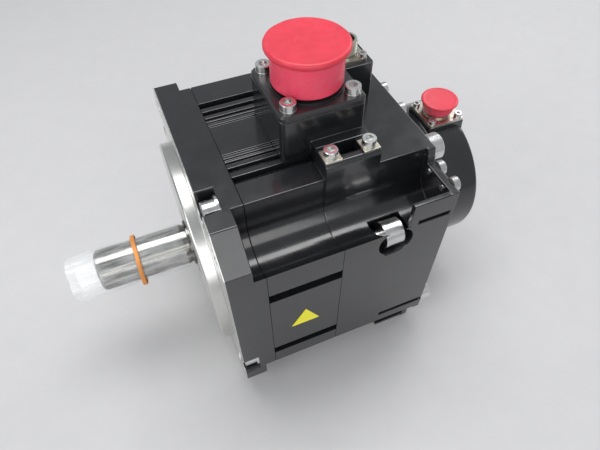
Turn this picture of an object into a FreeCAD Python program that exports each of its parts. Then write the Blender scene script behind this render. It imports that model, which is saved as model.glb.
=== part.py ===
import FreeCAD, Part
import math
import os
import re
import Sketcher

# Servo motor with a holding brake, an encoder and capped connectors.
# Frame: +X out along the shaft, +Z up (connectors on top), origin where the shaft
# axis meets the front face of the mounting flange. Millimetres throughout.

os.makedirs("parts", exist_ok=True)
doc = FreeCAD.newDocument("servo_motor")
Vector = FreeCAD.Vector
Rotation = FreeCAD.Rotation
Placement = FreeCAD.Placement

# name, size in mm (or a count, or degrees), meaning
SIZES = [
    ("flange_half", 65, "half the side of the square flange"),
    ("flange_depth", 12, "flange thickness"),
    ("flange_cut", 14.2, "leg of the flange's corner cut"),
    ("spigot_radius", 55, "centring spigot"),
    ("spigot_depth", 6, "spigot height in front of the flange"),
    ("edge_break", 0.8, "chamfer on machined edges"),
    ("mount_offset", 51.27, "mounting hole centre from the axis, in Y and in Z"),
    ("mount_hole", 4.5, "mounting hole radius"),
    ("bracket_rear", -17.6, "rear face of the front bracket"),
    ("stator_rear", -53.6, "rear face of the stator frame"),
    ("housing_rear", -108.4, "rear face of the rear housing"),
    ("rear_plate_front", -104.4, "front face of the rear housing's end plate"),
    ("notch_wall", 41.4, "upright wall of the corner notch"),
    ("notch_floor", 51.5, "height where the notch's hollow starts"),
    ("notch_centre", 54.4, "centre of the notch's hollow"),
    ("notch_radius", 13, "radius of the notch's hollow"),
    ("outside", 75, "clear of the outside of the body"),
    ("plate_low", 57.6, "height of the end plate behind a notch"),
    ("lip_inner", 62.4, "inner face of the lips beside the notches"),
    ("tie_top", 33.8, "front tie bolt, offset along the top and bottom"),
    ("tie_side", 36, "front tie bolt, offset along the sides"),
    ("tie_height", 58.5, "front tie bolt, distance from the axis"),
    ("tie_pocket", 7, "radius of the tie bolt pocket"),
    ("mouth_half", 6.9, "half the width of the pocket's mouth in the flange's edge"),
    ("tie_pocket_depth", 8.5, "depth of the tie bolt pocket"),
    ("tie_shank", 2.5, "shank radius of the tie bolts and side bolts"),
    ("tie_hole", 2.55, "hole radius for those shanks"),
    ("tie_end", -44, "end of the front tie bolts"),
    ("side_seat", -75.4, "seat of the side bolts"),
    ("seal_outer", 20, "oil seal seat radius"),
    ("seal_rear", -2, "rear of the oil seal seat"),
    ("seal_front", 5, "front of the oil seal"),
    ("shoulder_bore", 17, "bore between the seal and the bearing"),
    ("front_bearing_front", -4, "front face of the front bearing"),
    ("front_bearing_rear", -19, "rear face of the front bearing"),
    ("front_bearing_outer", 26, "front bearing outer radius"),
    ("front_hub_radius", 31, "front bearing hub"),
    ("front_hub_rear", -20, "rear face of the front bearing hub"),
    ("cavity_inner", 33.5, "inner wall of the hollow for the end turns"),
    ("cavity_outer", 52, "outer wall of the hollow for the end turns"),
    ("front_cavity_end", -9, "bottom of the front hollow"),
    ("register_rear", -20.6, "rear of the register that centres the stator"),
    ("register_radius", 55.9, "register radius"),
    ("frame_bore", 56, "bore of the stator frame"),
    ("core_front", -24, "front of the laminated core"),
    ("core_rear", -50, "rear of the laminated core"),
    ("tooth_radius", 33, "radius of the tooth tips"),
    ("tooth_count", 12, "number of teeth and of coils"),
    ("tooth_half", 4.35, "half the tooth width"),
    ("rear_bearing_front", -57, "front face of the rear bearing"),
    ("rear_bearing_rear", -71, "rear face of the rear bearing"),
    ("rear_bearing_outer", 23.5, "rear bearing outer radius"),
    ("rear_hub_front", -56, "front face of the rear bearing hub"),
    ("rear_cavity_end", -62, "bottom of the hollow for the rear end turns"),
    ("wall_rear", -74, "rear face of the bearing wall"),
    ("wall_bore", 15, "bore through the bearing wall"),
    ("brake_bore", 49, "bore of the brake chamber"),
    ("block_front", -54, "front end of the shoulder block"),
    ("block_rear", -80, "rear end of the shoulder block"),
    ("block_top", 73, "top of the shoulder block"),
    ("block_face", 42.4, "outer face of the shoulder block"),
    ("block_back", 30.4, "inner face of the shoulder block"),
    ("box_front", -41, "front face of the power connector box"),
    ("box_rear", -80.6, "rear face of the power connector box"),
    ("box_near", 25.2, "near face of the power connector box"),
    ("box_far", -14.6, "far face of the power connector box"),
    ("box_top", 86, "top of the power connector box"),
    ("power_x", -61, "power connector axis"),
    ("power_y", 5.2, "power connector axis"),
    ("power_flange_top", 88.5, "top of the power receptacle's flange"),
    ("power_shell", 14.8, "power receptacle's outer radius over the thread"),
    ("power_shell_top", 103, "top of the power receptacle"),
    ("power_pitch", 14.7, "half the pitch of the power receptacle's screws"),
    ("brake_x", -89.2, "brake connector axis"),
    ("brake_y", -15.8, "brake connector axis"),
    ("brake_block_top", 82, "top of the brake connector block"),
    ("encoder_x", -140.9, "encoder connector axis"),
    ("encoder_pad_top", 42.5, "top of the encoder connector's pad"),
    ("small_plate", 1.5, "thickness of the small receptacles' plates"),
    ("drum_radius", 40, "encoder cover radius"),
    ("drum_rear", -152, "rear face of the encoder cover"),
    ("drum_wall", 3, "wall of the encoder cover"),
    ("shaft_end", 55, "front end of the shaft"),
    ("shaft_radius", 11, "output shaft radius"),
    ("shaft_seat", 12.5, "seal land and front bearing seat"),
    ("rotor_seat", 15, "rotor seat"),
    ("rear_seat", 10, "rear bearing seat"),
    ("hub_seat", 9, "brake hub seat"),
    ("encoder_seat", 6, "encoder hub seat"),
    ("shaft_rear", -118, "rear end of the shaft"),
    ("coil_housing_front", -87, "front face of the brake coil housing"),
    ("coil_housing_rear", -101, "rear face of the brake coil housing"),
    ("sleeve_outer", 13, "outer radius of the clear sleeve"),
    ("sleeve_inner", 12.7, "inner radius of the clear sleeve"),
    ("sleeve_drop", 1.1, "how far the sleeve hangs below the shaft axis"),
    ("sleeve_front", 70, "front end of the sleeve"),
    ("sleeve_rear", 9.5, "rear end of the sleeve"),
]

sheet = doc.addObject("Spreadsheet::Sheet", "Sizes")
for row, (alias, amount, meaning) in enumerate(SIZES, start=1):
    sheet.set("A%d" % row, alias)
    sheet.set("B%d" % row, str(amount))
    sheet.set("C%d" % row, meaning)
    sheet.setAlias("B%d" % row, alias)
doc.recompute()

TERM = re.compile(r"([+-]?)\s*([A-Za-z_0-9.]+)")
NODES = {}


def size(alias):
    """The number in the sheet behind an alias."""
    return float(sheet.get(alias))


def number_of(text):
    """Adds up a sum such as "flange_half - 2", with sheet names looked up."""
    total = 0.0
    for sign, word in TERM.findall(str(text)):
        amount = size(word) if word[0].isalpha() else float(word)
        total += -amount if sign == "-" else amount
    return total


def formula_of(text):
    """The same sum as a FreeCAD expression."""
    def named(match):
        word = match.group(2)
        return match.group(1) + ("Sizes." + word if word[0].isalpha() else word)
    return TERM.sub(named, str(text))


def bind(thing, field, text):
    """Sets a property's expression when the text names a cell of the sheet."""
    if re.search("[a-z]", str(text)):
        thing.setExpression(field, formula_of(text))


# ---------------------------------------------------------------- sketches


def origin_plane(body, role):
    return next(item for item in body.Origin.OriginFeatures if item.Role == role)


def new_body(name):
    body = doc.addObject("PartDesign::Body", name)
    body.Label = name
    NODES[name] = body
    return body


def new_sketch(body, name, role, offset="0"):
    """A sketch on one of the body's origin planes, moved along its normal."""
    sketch = body.newObject("Sketcher::SketchObject", name)
    sketch.AttachmentSupport = [(origin_plane(body, role), "")]
    sketch.MapMode = "FlatFace"
    sketch.AttachmentOffset = Placement(Vector(0, 0, number_of(offset)), Rotation())
    bind(sketch, "AttachmentOffset.Base.z", offset)
    return sketch


def tie(sketch, kind, geometry, point, text):
    """A signed distance from the sketch origin, bound to the sheet."""
    rule = Sketcher.Constraint(kind, -1, 1, geometry, point, number_of(text))
    bind(sketch, "Constraints[%d]" % sketch.addConstraint(rule), text)


def add_loop(sketch, corners):
    """A closed outline of straight lines; every corner is tied to the sheet."""
    spots = [Vector(number_of(across), number_of(up), 0) for across, up in corners]
    first = sketch.GeometryCount
    count = len(spots)
    for index, spot in enumerate(spots):
        sketch.addGeometry(Part.LineSegment(spot, spots[(index + 1) % count]), False)
    for index, (across, up) in enumerate(corners):
        following = first + (index + 1) % count
        sketch.addConstraint(Sketcher.Constraint("Coincident", first + index, 2, following, 1))
        tie(sketch, "DistanceX", first + index, 1, across)
        tie(sketch, "DistanceY", first + index, 1, up)


def add_rectangle(sketch, left, right, low, high):
    add_loop(sketch, [(left, low), (right, low), (right, high), (left, high)])


def add_circle(sketch, across, up, radius):
    centre = Vector(number_of(across), number_of(up), 0)
    circle = Part.Circle(centre, Vector(0, 0, 1), number_of(radius))
    index = sketch.addGeometry(circle, False)
    rule = sketch.addConstraint(Sketcher.Constraint("Radius", index, number_of(radius)))
    bind(sketch, "Constraints[%d]" % rule, radius)
    tie(sketch, "DistanceX", index, 3, across)
    tie(sketch, "DistanceY", index, 3, up)


# ------------------------------------------------- features along X and up Z


def pad_along_x(body, name, draw, rear, front):
    """Pads what draw(sketch) draws in the YZ plane, from rear to front."""
    sketch = new_sketch(body, name + "_sketch", "YZ_Plane", rear)
    draw(sketch)
    pad = body.newObject("PartDesign::Pad", name)
    pad.Profile = sketch
    set_length(pad, front, rear)
    return pad


def set_length(feature, high, low):
    """Length from low to high, bound to the sheet."""
    feature.Length = number_of(high) - number_of(low)
    if re.search("[a-z]", high + low):
        feature.setExpression("Length", "(%s) - (%s)" % (formula_of(high), formula_of(low)))


def pocket_along_x(body, name, draw, front, rear):
    """Cuts what draw(sketch) draws in the YZ plane, from front back to rear."""
    sketch = new_sketch(body, name + "_sketch", "YZ_Plane", front)
    draw(sketch)
    pocket = body.newObject("PartDesign::Pocket", name)
    pocket.Profile = sketch
    set_length(pocket, front, rear)
    return pocket


def pad_up(body, name, draw, low, high):
    sketch = new_sketch(body, name + "_sketch", "XY_Plane", low)
    draw(sketch)
    pad = body.newObject("PartDesign::Pad", name)
    pad.Profile = sketch
    set_length(pad, high, low)
    return pad


def pocket_down(body, name, draw, high, low):
    sketch = new_sketch(body, name + "_sketch", "XY_Plane", high)
    draw(sketch)
    pocket = body.newObject("PartDesign::Pocket", name)
    pocket.Profile = sketch
    set_length(pocket, high, low)
    return pocket


def pocket_towards_y(body, name, draw, low, high):
    """Cuts what draw(sketch) draws in the XZ plane, from y = low to y = high."""
    opposite = "-" + low if not low.startswith("-") else low[1:]
    sketch = new_sketch(body, name + "_sketch", "XZ_Plane", opposite)
    draw(sketch)
    pocket = body.newObject("PartDesign::Pocket", name)
    pocket.Profile = sketch
    set_length(pocket, high, low)
    return pocket


def turn(body, name, corners, kind="Revolution"):
    """A profile of (x, radius) corners turned round the shaft axis."""
    sketch = new_sketch(body, name + "_sketch", "XZ_Plane")
    add_loop(sketch, corners)
    feature = body.newObject("PartDesign::" + kind, name)
    feature.Profile = sketch
    feature.ReferenceAxis = (sketch, ["H_Axis"])
    feature.Angle = 360
    return feature


def turned_body(name, corners):
    body = new_body(name)
    turn(body, name + "_turned", corners)
    return body


def round_edges(body, name, feature, radius, axis):
    """Fillets the feature's straight edges that run along one axis."""
    doc.recompute()
    chosen = []
    for index, edge in enumerate(feature.Shape.Edges, start=1):
        if edge.Curve.TypeId == "Part::GeomLine":
            direction = edge.Vertexes[-1].Point - edge.Vertexes[0].Point
            if abs(abs(direction.normalize().dot(axis)) - 1) < 1e-6:
                chosen.append("Edge%d" % index)
    fillet = body.newObject("PartDesign::Fillet", name)
    fillet.Base = (feature, chosen)
    fillet.Radius = radius
    return fillet


def mirrored_pairs(across, up):
    """A point and its mirror images in both axes, as sheet sums."""
    return [(side + across, rise + up) for side in ("", "-") for rise in ("", "-")]


def quarter_turns(across, up):
    """A point and its three quarter turns about the shaft axis, as sheet sums."""
    lower = opposite(across)
    return [(across, up), (up, lower), (lower, opposite(up)), (opposite(up), across)]


def opposite(text):
    """The negative of a sheet sum."""
    text = text if text.startswith("-") else "+" + text
    return text.replace("-", "~").replace("+", "-").replace("~", "+").lstrip("+")


def turned_places(top, side, height):
    """Four places a quarter turn apart: on the top, the +Y side, the bottom, the -Y side."""
    return [(top, height), (height, "-" + side), ("-" + top, "-" + height), ("-" + height, side)]


# ---------------------------------------------------- plain shapes for groups


def cylinder(start, direction, length, radius, bore=0.0):
    solid = Part.makeCylinder(radius, length, start, direction)
    if bore > 0:
        solid = solid.cut(Part.makeCylinder(bore, length, start, direction))
    return solid


def group(name, shape):
    """A node made of one shape, or of several separate solids."""
    if isinstance(shape, list):
        shape = Part.makeCompound(shape)
    feature = doc.addObject("Part::Feature", name)
    feature.Label = name
    feature.Shape = shape
    feature.Placement = Placement()
    NODES[name] = feature
    return feature


def socket_screw(seat, outward, head_radius, head_height, shank_radius, shank_length,
                 washer_radius=0.0, washer_height=0.0):
    """A socket-head screw whose head stands on seat and whose shank goes inward."""
    shank_start = seat - outward * shank_length
    screw = cylinder(shank_start, outward, shank_length + washer_height, shank_radius)
    if washer_radius > 0:
        screw = screw.fuse(cylinder(seat, outward, washer_height, washer_radius))
    head_seat = seat + outward * washer_height
    head = cylinder(head_seat, outward, head_height, head_radius)
    rim = [edge for edge in head.Edges
           if edge.Curve.TypeId == "Part::GeomCircle"
           and abs((edge.Curve.Center - head_seat).dot(outward) - head_height) < 1e-6]
    head = head.makeChamfer(head_radius * 0.09, rim)
    socket_depth = head_height * 0.55
    flat = head_radius * 0.5
    side = outward.cross(Vector(0, 1, 0) if abs(outward.y) < 0.9 else Vector(1, 0, 0))
    ring = []
    for step in range(7):
        spoke = Rotation(outward, 60 * step).multVec(side) * flat * 1.1547
        ring.append(head_seat + outward * (head_height - socket_depth) + spoke)
    hexagon = Part.Face(Part.makePolygon(ring)).extrude(outward * (socket_depth + 1))
    return screw.fuse(head.cut(hexagon)).removeSplitter()


# ------------------------------------------------------------- the castings


def draw_square(sketch):
    add_rectangle(sketch, "-flange_half", "flange_half", "-flange_half", "flange_half")


def draw_notch_corners(sketch):
    """The square part of each corner notch."""
    inner = quarter_turns("notch_wall", "notch_floor")
    outer = quarter_turns("outside", "outside")
    for (near, low), (far, high) in zip(inner, outer):
        add_loop(sketch, [(near, low), (far, low), (far, high), (near, high)])


def draw_notch_hollows(sketch):
    """The round bottom of each corner notch."""
    for across, up in quarter_turns("notch_centre", "notch_floor"):
        add_circle(sketch, across, up, "notch_radius")


def notched_bar(body, rear, front):
    """A square bar whose corners are cleared for the mounting bolts."""
    pad_along_x(body, "bar", draw_square, rear, front)
    pocket_along_x(body, "notch_corners", draw_notch_corners, front, rear)
    pocket_along_x(body, "notch_hollows", draw_notch_hollows, front, rear)


def front_bracket():
    body = new_body("front_bracket")
    notched_bar(body, "bracket_rear", "-flange_depth")

    def draw_flange(sketch):
        inner = "flange_half - flange_cut"
        minus_inner = "-flange_half + flange_cut"
        add_loop(sketch, [
            (minus_inner, "-flange_half"), (inner, "-flange_half"),
            ("flange_half", minus_inner), ("flange_half", inner),
            (inner, "flange_half"), (minus_inner, "flange_half"),
            ("-flange_half", inner), ("-flange_half", minus_inner)])
    pad_along_x(body, "flange", draw_flange, "-flange_depth", "0")
    turn(body, "spigot", [
        ("-1", "0"), ("-1", "spigot_radius"), ("spigot_depth - edge_break", "spigot_radius"),
        ("spigot_depth", "spigot_radius - edge_break"), ("spigot_depth", "0")])
    turn(body, "register", [
        ("register_rear", "0"), ("register_rear", "register_radius"),
        ("bracket_rear + 1", "register_radius"), ("bracket_rear + 1", "0")])
    turn(body, "rear_hollow", [
        ("front_cavity_end", "cavity_inner"), ("front_cavity_end", "cavity_outer"),
        ("register_rear - 1", "cavity_outer"), ("register_rear - 1", "0"),
        ("front_hub_rear", "0"), ("front_hub_rear", "cavity_inner")], "Groove")
    turn(body, "bore", [
        ("spigot_depth + 1", "0"), ("spigot_depth + 1", "seal_outer"),
        ("seal_rear", "seal_outer"), ("seal_rear", "shoulder_bore"),
        ("front_bearing_front", "shoulder_bore"), ("front_bearing_front", "front_bearing_outer"),
        ("front_hub_rear - 1", "front_bearing_outer"), ("front_hub_rear - 1", "0")], "Groove")

    def draw_mount_holes(sketch):
        for across, up in mirrored_pairs("mount_offset", "mount_offset"):
            add_circle(sketch, across, up, "mount_hole")
    pocket_along_x(body, "mount_holes", draw_mount_holes, "0", "-flange_depth")

    places = turned_places("tie_top", "tie_side", "tie_height")

    def draw_pocket_rounds(sketch):
        for across, up in places:
            add_circle(sketch, across, up, "tie_pocket")
    pocket_along_x(body, "tie_pocket_rounds", draw_pocket_rounds, "0", "-tie_pocket_depth")

    def draw_pocket_mouths(sketch):
        add_rectangle(sketch, "tie_top - mouth_half", "tie_top + mouth_half",
                      "tie_height", "outside")
        add_rectangle(sketch, "-tie_top - mouth_half", "-tie_top + mouth_half",
                      "-outside", "-tie_height")
        add_rectangle(sketch, "tie_height", "outside",
                      "-tie_side - mouth_half", "-tie_side + mouth_half")
        add_rectangle(sketch, "-outside", "-tie_height",
                      "tie_side - mouth_half", "tie_side + mouth_half")
    pocket_along_x(body, "tie_pocket_mouths", draw_pocket_mouths, "0", "-tie_pocket_depth")

    def draw_tie_holes(sketch):
        for across, up in places:
            add_circle(sketch, across, up, "tie_hole")
    pocket_along_x(body, "tie_holes", draw_tie_holes, "-tie_pocket_depth + 1", "bracket_rear")


def stator_frame():
    body = new_body("stator_frame")
    notched_bar(body, "stator_rear", "bracket_rear")

    def draw_bore(sketch):
        add_circle(sketch, "0", "0", "frame_bore")
    pocket_along_x(body, "bore", draw_bore, "bracket_rear", "stator_rear")

    # distance from the middle, width and depth of each groove along the top
    top_grooves = [(25.0, 4.0, 3.6), (19.2, 2.8, 2.4), (15.3, 1.5, 1.4),
                   (12.9, 1.1, 1.0), (10.2, 0.9, 0.8)]
    for number, (start, width, depth) in enumerate(top_grooves, start=1):
        def draw_top_grooves(sketch, start=start, width=width, depth=depth):
            bottom = "flange_half - %s" % depth
            for near, far in ((start, start + width), (-start - width, -start)):
                add_rectangle(sketch, str(near), str(far), bottom, "outside")
        pocket_along_x(body, "top_groove_%d" % number, draw_top_grooves,
                       "bracket_rear", "stator_rear")

    def draw_side_slots(sketch):
        for low, high in (("22", "28"), ("-31", "-25.4")):
            add_rectangle(sketch, "flange_half - 3.6", "outside", low, high)
            add_rectangle(sketch, "-outside", "-flange_half + 3.6", low, high)
            add_rectangle(sketch, low, high, "-outside", "-flange_half + 3.6")
    pocket_along_x(body, "side_slots", draw_side_slots, "bracket_rear", "stator_rear")

    def draw_tie_holes(sketch):
        for across, up in turned_places("tie_top", "tie_side", "tie_height"):
            add_circle(sketch, across, up, "tie_hole")
    pocket_along_x(body, "tie_holes", draw_tie_holes, "bracket_rear", "tie_end - 1")


REAR_TIE = quarter_turns("36", "58.5")
SIDE_BOLT = quarter_turns("58.6", "35.8")
SMALL_SCREWS = [("47", "55.5"), ("58", "55.5"), ("9", "61.2"), ("-9", "61.2")]


def draw_end_plate(sketch):
    """The rear housing's end plate, lower behind each notch."""
    corner = [("notch_wall + 1.2", "flange_half"), ("44.5", "plate_low"),
              ("flange_half", "plate_low")]
    turned = zip(*[quarter_turns(across, up) for across, up in corner])
    add_loop(sketch, [spot for spots in turned for spot in spots])


def draw_corner_lips(sketch):
    """Thin lips that carry each side face on beside its notch."""
    lip = [("lip_inner", "36"), ("flange_half", "36"),
           ("flange_half", "plate_low - 0.1"), ("lip_inner", "plate_low - 0.1")]
    for spots in zip(*[quarter_turns(across, up) for across, up in lip]):
        add_loop(sketch, list(spots))


def draw_shoulder(sketch):
    """Section of the raised shoulder beside the power connector box."""
    add_loop(sketch, [
        ("block_back", "60"), ("block_face", "50"), ("block_face", "block_top - 1.5"),
        ("block_face - 1.5", "block_top"), ("block_back", "block_top")])


def cut_side_bolt_pockets(body):
    """Pockets for the side bolts, each with a round rear end, open to its side."""
    front, middle, reach = "side_seat", "-80", "8.6"
    for number, (across, up) in enumerate(SIDE_BOLT, start=1):
        on_side = abs(number_of(across)) > abs(number_of(up))
        along = up if on_side else across

        def draw_run(sketch, along=along):
            add_rectangle(sketch, middle, front, along + " - 8.5", along + " + 8.5")

        def draw_end(sketch, along=along):
            add_circle(sketch, middle, along, reach)
        outward = across if on_side else up
        low, high = ("-outside", "-51.5") if outward.startswith("-") else ("51.5", "outside")
        for part, draw in (("run", draw_run), ("end", draw_end)):
            name = "side_bolt_pocket_%d_%s" % (number, part)
            if on_side:
                pocket_towards_y(body, name, draw, low, high)
            else:
                pocket_down(body, name, draw, high, low)


def rear_housing():
    body = new_body("rear_housing")
    notched_bar(body, "housing_rear", "stator_rear")
    pad_along_x(body, "end_plate", draw_end_plate, "housing_rear", "rear_plate_front")
    pad_along_x(body, "corner_lips", draw_corner_lips, "rear_plate_front", "-86")
    pad_along_x(body, "shoulder_block", draw_shoulder, "block_rear", "block_front")

    def draw_shoulder_recess(sketch):
        add_rectangle(sketch, "-72.5", "-63", "block_back - 1", "37.6")
    pocket_down(body, "shoulder_recess", draw_shoulder_recess, "block_top", "66")

    turn(body, "front_hollow", [
        ("stator_rear + 1", "0"), ("stator_rear + 1", "cavity_outer"),
        ("rear_cavity_end", "cavity_outer"), ("rear_cavity_end", "cavity_inner"),
        ("rear_hub_front", "cavity_inner"), ("rear_hub_front", "rear_bearing_outer"),
        ("rear_bearing_rear - 0.8", "rear_bearing_outer"), ("rear_bearing_rear - 0.8", "wall_bore"),
        ("wall_rear - 1", "wall_bore"), ("wall_rear - 1", "0")], "Groove")
    turn(body, "brake_chamber", [
        ("wall_rear", "0"), ("wall_rear", "brake_bore"),
        ("housing_rear - 1", "brake_bore"), ("housing_rear - 1", "0")], "Groove")
    cut_side_bolt_pockets(body)

    def draw_low_grooves(sketch):
        add_rectangle(sketch, "flange_half - 2", "outside", "-34.8", "-31.9")
        add_rectangle(sketch, "-outside", "-flange_half + 2", "31.9", "34.8")
    pocket_along_x(body, "low_side_grooves", draw_low_grooves, "-80.4", "housing_rear - 1")

    def draw_high_grooves(sketch):
        add_rectangle(sketch, "flange_half - 1.6", "outside", "43.9", "46.2")
        add_rectangle(sketch, "-outside", "-flange_half + 1.6", "-46.2", "-43.9")
    pocket_along_x(body, "high_side_grooves", draw_high_grooves, "-90", "-106.4")

    def draw_wire_hole(sketch):
        add_circle(sketch, "-58.2", "power_y", "4")
    pocket_down(body, "wire_hole", draw_wire_hole, "outside", "45")

    def draw_rear_tie_holes(sketch):
        for across, up in REAR_TIE:
            add_circle(sketch, across, up, "tie_hole")
    pocket_along_x(body, "rear_tie_holes", draw_rear_tie_holes, "-92", "housing_rear - 1")

    def draw_side_bolt_holes(sketch):
        for across, up in SIDE_BOLT:
            add_circle(sketch, across, up, "tie_hole")
    pocket_along_x(body, "side_bolt_holes", draw_side_bolt_holes, "-60", "side_seat - 1")

    def draw_small_holes(sketch):
        for across, up in SMALL_SCREWS:
            add_circle(sketch, across, up, "1.55")
    pocket_along_x(body, "small_screw_holes", draw_small_holes, "-103", "housing_rear - 1")

    def draw_clamp_holes(sketch):
        for along in ("-58", "-76"):
            add_circle(sketch, along, "37.2", "1.55")
    pocket_down(body, "clamp_screw_holes", draw_clamp_holes, "block_top + 1", "64")


# ------------------------------------------------------- stator and its wires


def stator_core():
    body = new_body("stator_core")

    def draw_ring(sketch):
        add_circle(sketch, "0", "0", "register_radius")
        add_circle(sketch, "0", "0", "tooth_radius")
    pad_along_x(body, "ring", draw_ring, "core_rear", "core_front")

    def draw_slot(sketch):
        """One slot between two teeth, with a narrow mouth; it points along +Y."""
        half = [("tooth_radius - 1", "1.2"), ("34.8", "1.2"), ("36", "5.2"), ("50", "8.9")]
        mirror = [(across, "-" + up) for across, up in reversed(half)]
        add_loop(sketch, half + mirror)
    slot = pocket_along_x(body, "slot", draw_slot, "core_front", "core_rear")
    pattern = body.newObject("PartDesign::PolarPattern", "slots")
    pattern.Originals = [slot]
    pattern.Axis = (slot.Profile[0], ["N_Axis"])
    pattern.Angle = 360
    pattern.Occurrences = int(size("tooth_count"))
    pattern.setExpression("Occurrences", "Sizes.tooth_count")
    body.Tip = pattern


def around_teeth(one):
    """Copies of a solid made for the tooth at the top, one for each tooth."""
    count = int(size("tooth_count"))
    copies = []
    for number in range(count):
        turned = one.copy()
        turned.rotate(Vector(0, 0, 0), Vector(1, 0, 0), 360.0 * (number + 0.5) / count)
        copies.append(turned)
    return copies


def tooth_frame(half_width, over_end, inner_half, inner_over, low, high):
    """A rectangular frame round one tooth, from low to high in radius."""
    front, rear = size("core_front"), size("core_rear")
    outer = Part.makeBox(front - rear + 2 * over_end, 2 * half_width, high - low,
                         Vector(rear - over_end, -half_width, low))
    upright = [edge for edge in outer.Edges
               if abs(edge.Vertexes[0].Z - edge.Vertexes[1].Z) > 0.1]
    outer = outer.makeFillet((half_width - inner_half) * 0.8, upright)
    inner = Part.makeBox(front - rear + 2 * inner_over, 2 * inner_half, high - low + 2,
                         Vector(rear - inner_over, -inner_half, low - 1))
    return outer.cut(inner)


def stator_windings():
    half = size("tooth_half")
    bobbin = tooth_frame(half + 0.7, 0.7, half + 0.05, 0.05, 36.6, 49.4)
    rim = tooth_frame(half + 3.6, 4.2, half + 0.05, 0.05, 36.6, 37.4)
    group("slot_insulation", around_teeth(bobbin.fuse(rim)))
    coil = tooth_frame(half + 4.6, 5.2, half + 0.8, 0.8, 37.6, 49.0)
    group("stator_coils", around_teeth(coil))


def motor_leads():
    """Three leads from the end turns up into the power connector box."""
    across = size("power_y")
    leads = []
    for number in range(3):
        turn_angle = math.radians(90 + 120 * number)
        start = Vector(-58.2 + 1.9 * math.cos(turn_angle),
                       across + 1.9 * math.sin(turn_angle), 47.5)
        leads.append(cylinder(start, Vector(0, 0, 1), 84.4 - 47.5, 1.2))
    group("motor_leads", leads)


# --------------------------------------------------------------- rotating set


def shaft():
    body = turned_body("shaft", [
        ("shaft_end", "0"), ("shaft_end", "shaft_radius - 1"), ("shaft_end - 1", "shaft_radius"),
        ("8.4", "shaft_radius"), ("8.4", "10.5"), ("7.2", "10.5"), ("7.2", "shaft_seat - 0.4"),
        ("6.8", "shaft_seat"), ("front_bearing_rear", "shaft_seat"), ("front_bearing_rear", "17"),
        ("-22", "17"), ("-22", "rotor_seat"), ("-53", "rotor_seat"), ("-53", "13"),
        ("rear_bearing_front", "13"), ("rear_bearing_front", "rear_seat"),
        ("rear_bearing_rear - 1", "rear_seat"), ("rear_bearing_rear - 1", "hub_seat"),
        ("-102", "hub_seat"), ("-102", "encoder_seat"),
        ("shaft_rear + 0.6", "encoder_seat"), ("shaft_rear", "encoder_seat - 0.6"),
        ("shaft_rear", "0")])
    turn(body, "centre_hole", [
        ("shaft_end + 1", "0"), ("shaft_end + 1", "4.2"), ("shaft_end", "4.2"),
        ("shaft_end - 3", "2.5"), ("shaft_end - 18", "2.5"), ("shaft_end - 20", "0")], "Groove")


def rotor():
    turned_body("rotor_core", [
        ("-50", "rotor_seat"), ("-24", "rotor_seat"), ("-24", "27.5"), ("-50", "27.5")])
    magnets = []
    blank = cylinder(Vector(-50, 0, 0), Vector(1, 0, 0), 26, 31.4, 27.55)
    wedge = Part.makeCylinder(40, 30, Vector(-52, 0, 0), Vector(1, 0, 0), 41)
    magnet = blank.common(wedge)
    for number in range(8):
        turned = magnet.copy()
        turned.rotate(Vector(0, 0, 0), Vector(1, 0, 0), 45.0 * number)
        magnets.append(turned)
    group("rotor_magnets", magnets)
    turned_body("rotor_band", [
        ("-50.5", "31.45"), ("-23.5", "31.45"), ("-23.5", "32.1"), ("-50.5", "32.1")])


def bearing(name, front, rear, bore, outer):
    """Outer ring, inner ring and balls with their cage, between two x planes."""
    reach = number_of(front) - number_of(rear)
    middle = number_of(front) - reach / 2
    inside, outside = number_of(bore), number_of(outer)
    pitch = (inside + outside) / 2
    ball = (outside - inside) * 0.29
    land_in = inside + (outside - inside) * 0.30
    land_out = outside - (outside - inside) * 0.30
    race = Part.makeTorus(pitch, ball + 0.3, Vector(middle, 0, 0), Vector(1, 0, 0))
    start = Vector(number_of(rear), 0, 0)
    along = Vector(1, 0, 0)
    outer_ring = cylinder(start, along, reach, outside - 0.02, land_out)
    tight_race = Part.makeTorus(pitch, ball, Vector(middle, 0, 0), along)
    group(name + "_bearing_outer", outer_ring.cut(tight_race))
    group(name + "_bearing_inner", cylinder(start, along, reach, land_in, inside).cut(race))
    balls = []
    for number in range(9):
        angle = math.radians(40 * number)
        centre = Vector(middle, pitch * math.cos(angle), pitch * math.sin(angle))
        balls.append(Part.makeSphere(ball - 0.01, centre))
    group(name + "_bearing_balls", balls)


def small_turned_pieces():
    turned_body("oil_seal", [
        ("seal_rear", "shaft_seat + 0.3"), ("seal_rear + 1.5", "shaft_seat + 0.06"),
        ("seal_rear + 3", "shaft_seat + 0.8"), ("seal_rear + 5", "shaft_seat + 1.6"),
        ("seal_front - 1.2", "shaft_seat + 1.6"), ("seal_front", "shaft_seat + 0.3"),
        ("seal_front", "seal_outer - 0.5"), ("seal_front - 0.5", "seal_outer - 0.02"),
        ("seal_rear", "seal_outer - 0.02")])
    turned_body("wave_washer", [
        ("rear_bearing_rear - 0.1", "18.5"), ("rear_bearing_rear - 0.1", "23"),
        ("rear_bearing_rear - 0.7", "23"), ("rear_bearing_rear - 0.7", "18.5")])


# --------------------------------------------------------------------- brake


def draw_brake_screw_holes(sketch):
    for number in range(3):
        angle = math.radians(30 + 120 * number)
        add_circle(sketch, "%.3f" % (43 * math.cos(angle)),
                   "%.3f" % (43 * math.sin(angle)), "1.95")


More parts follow.
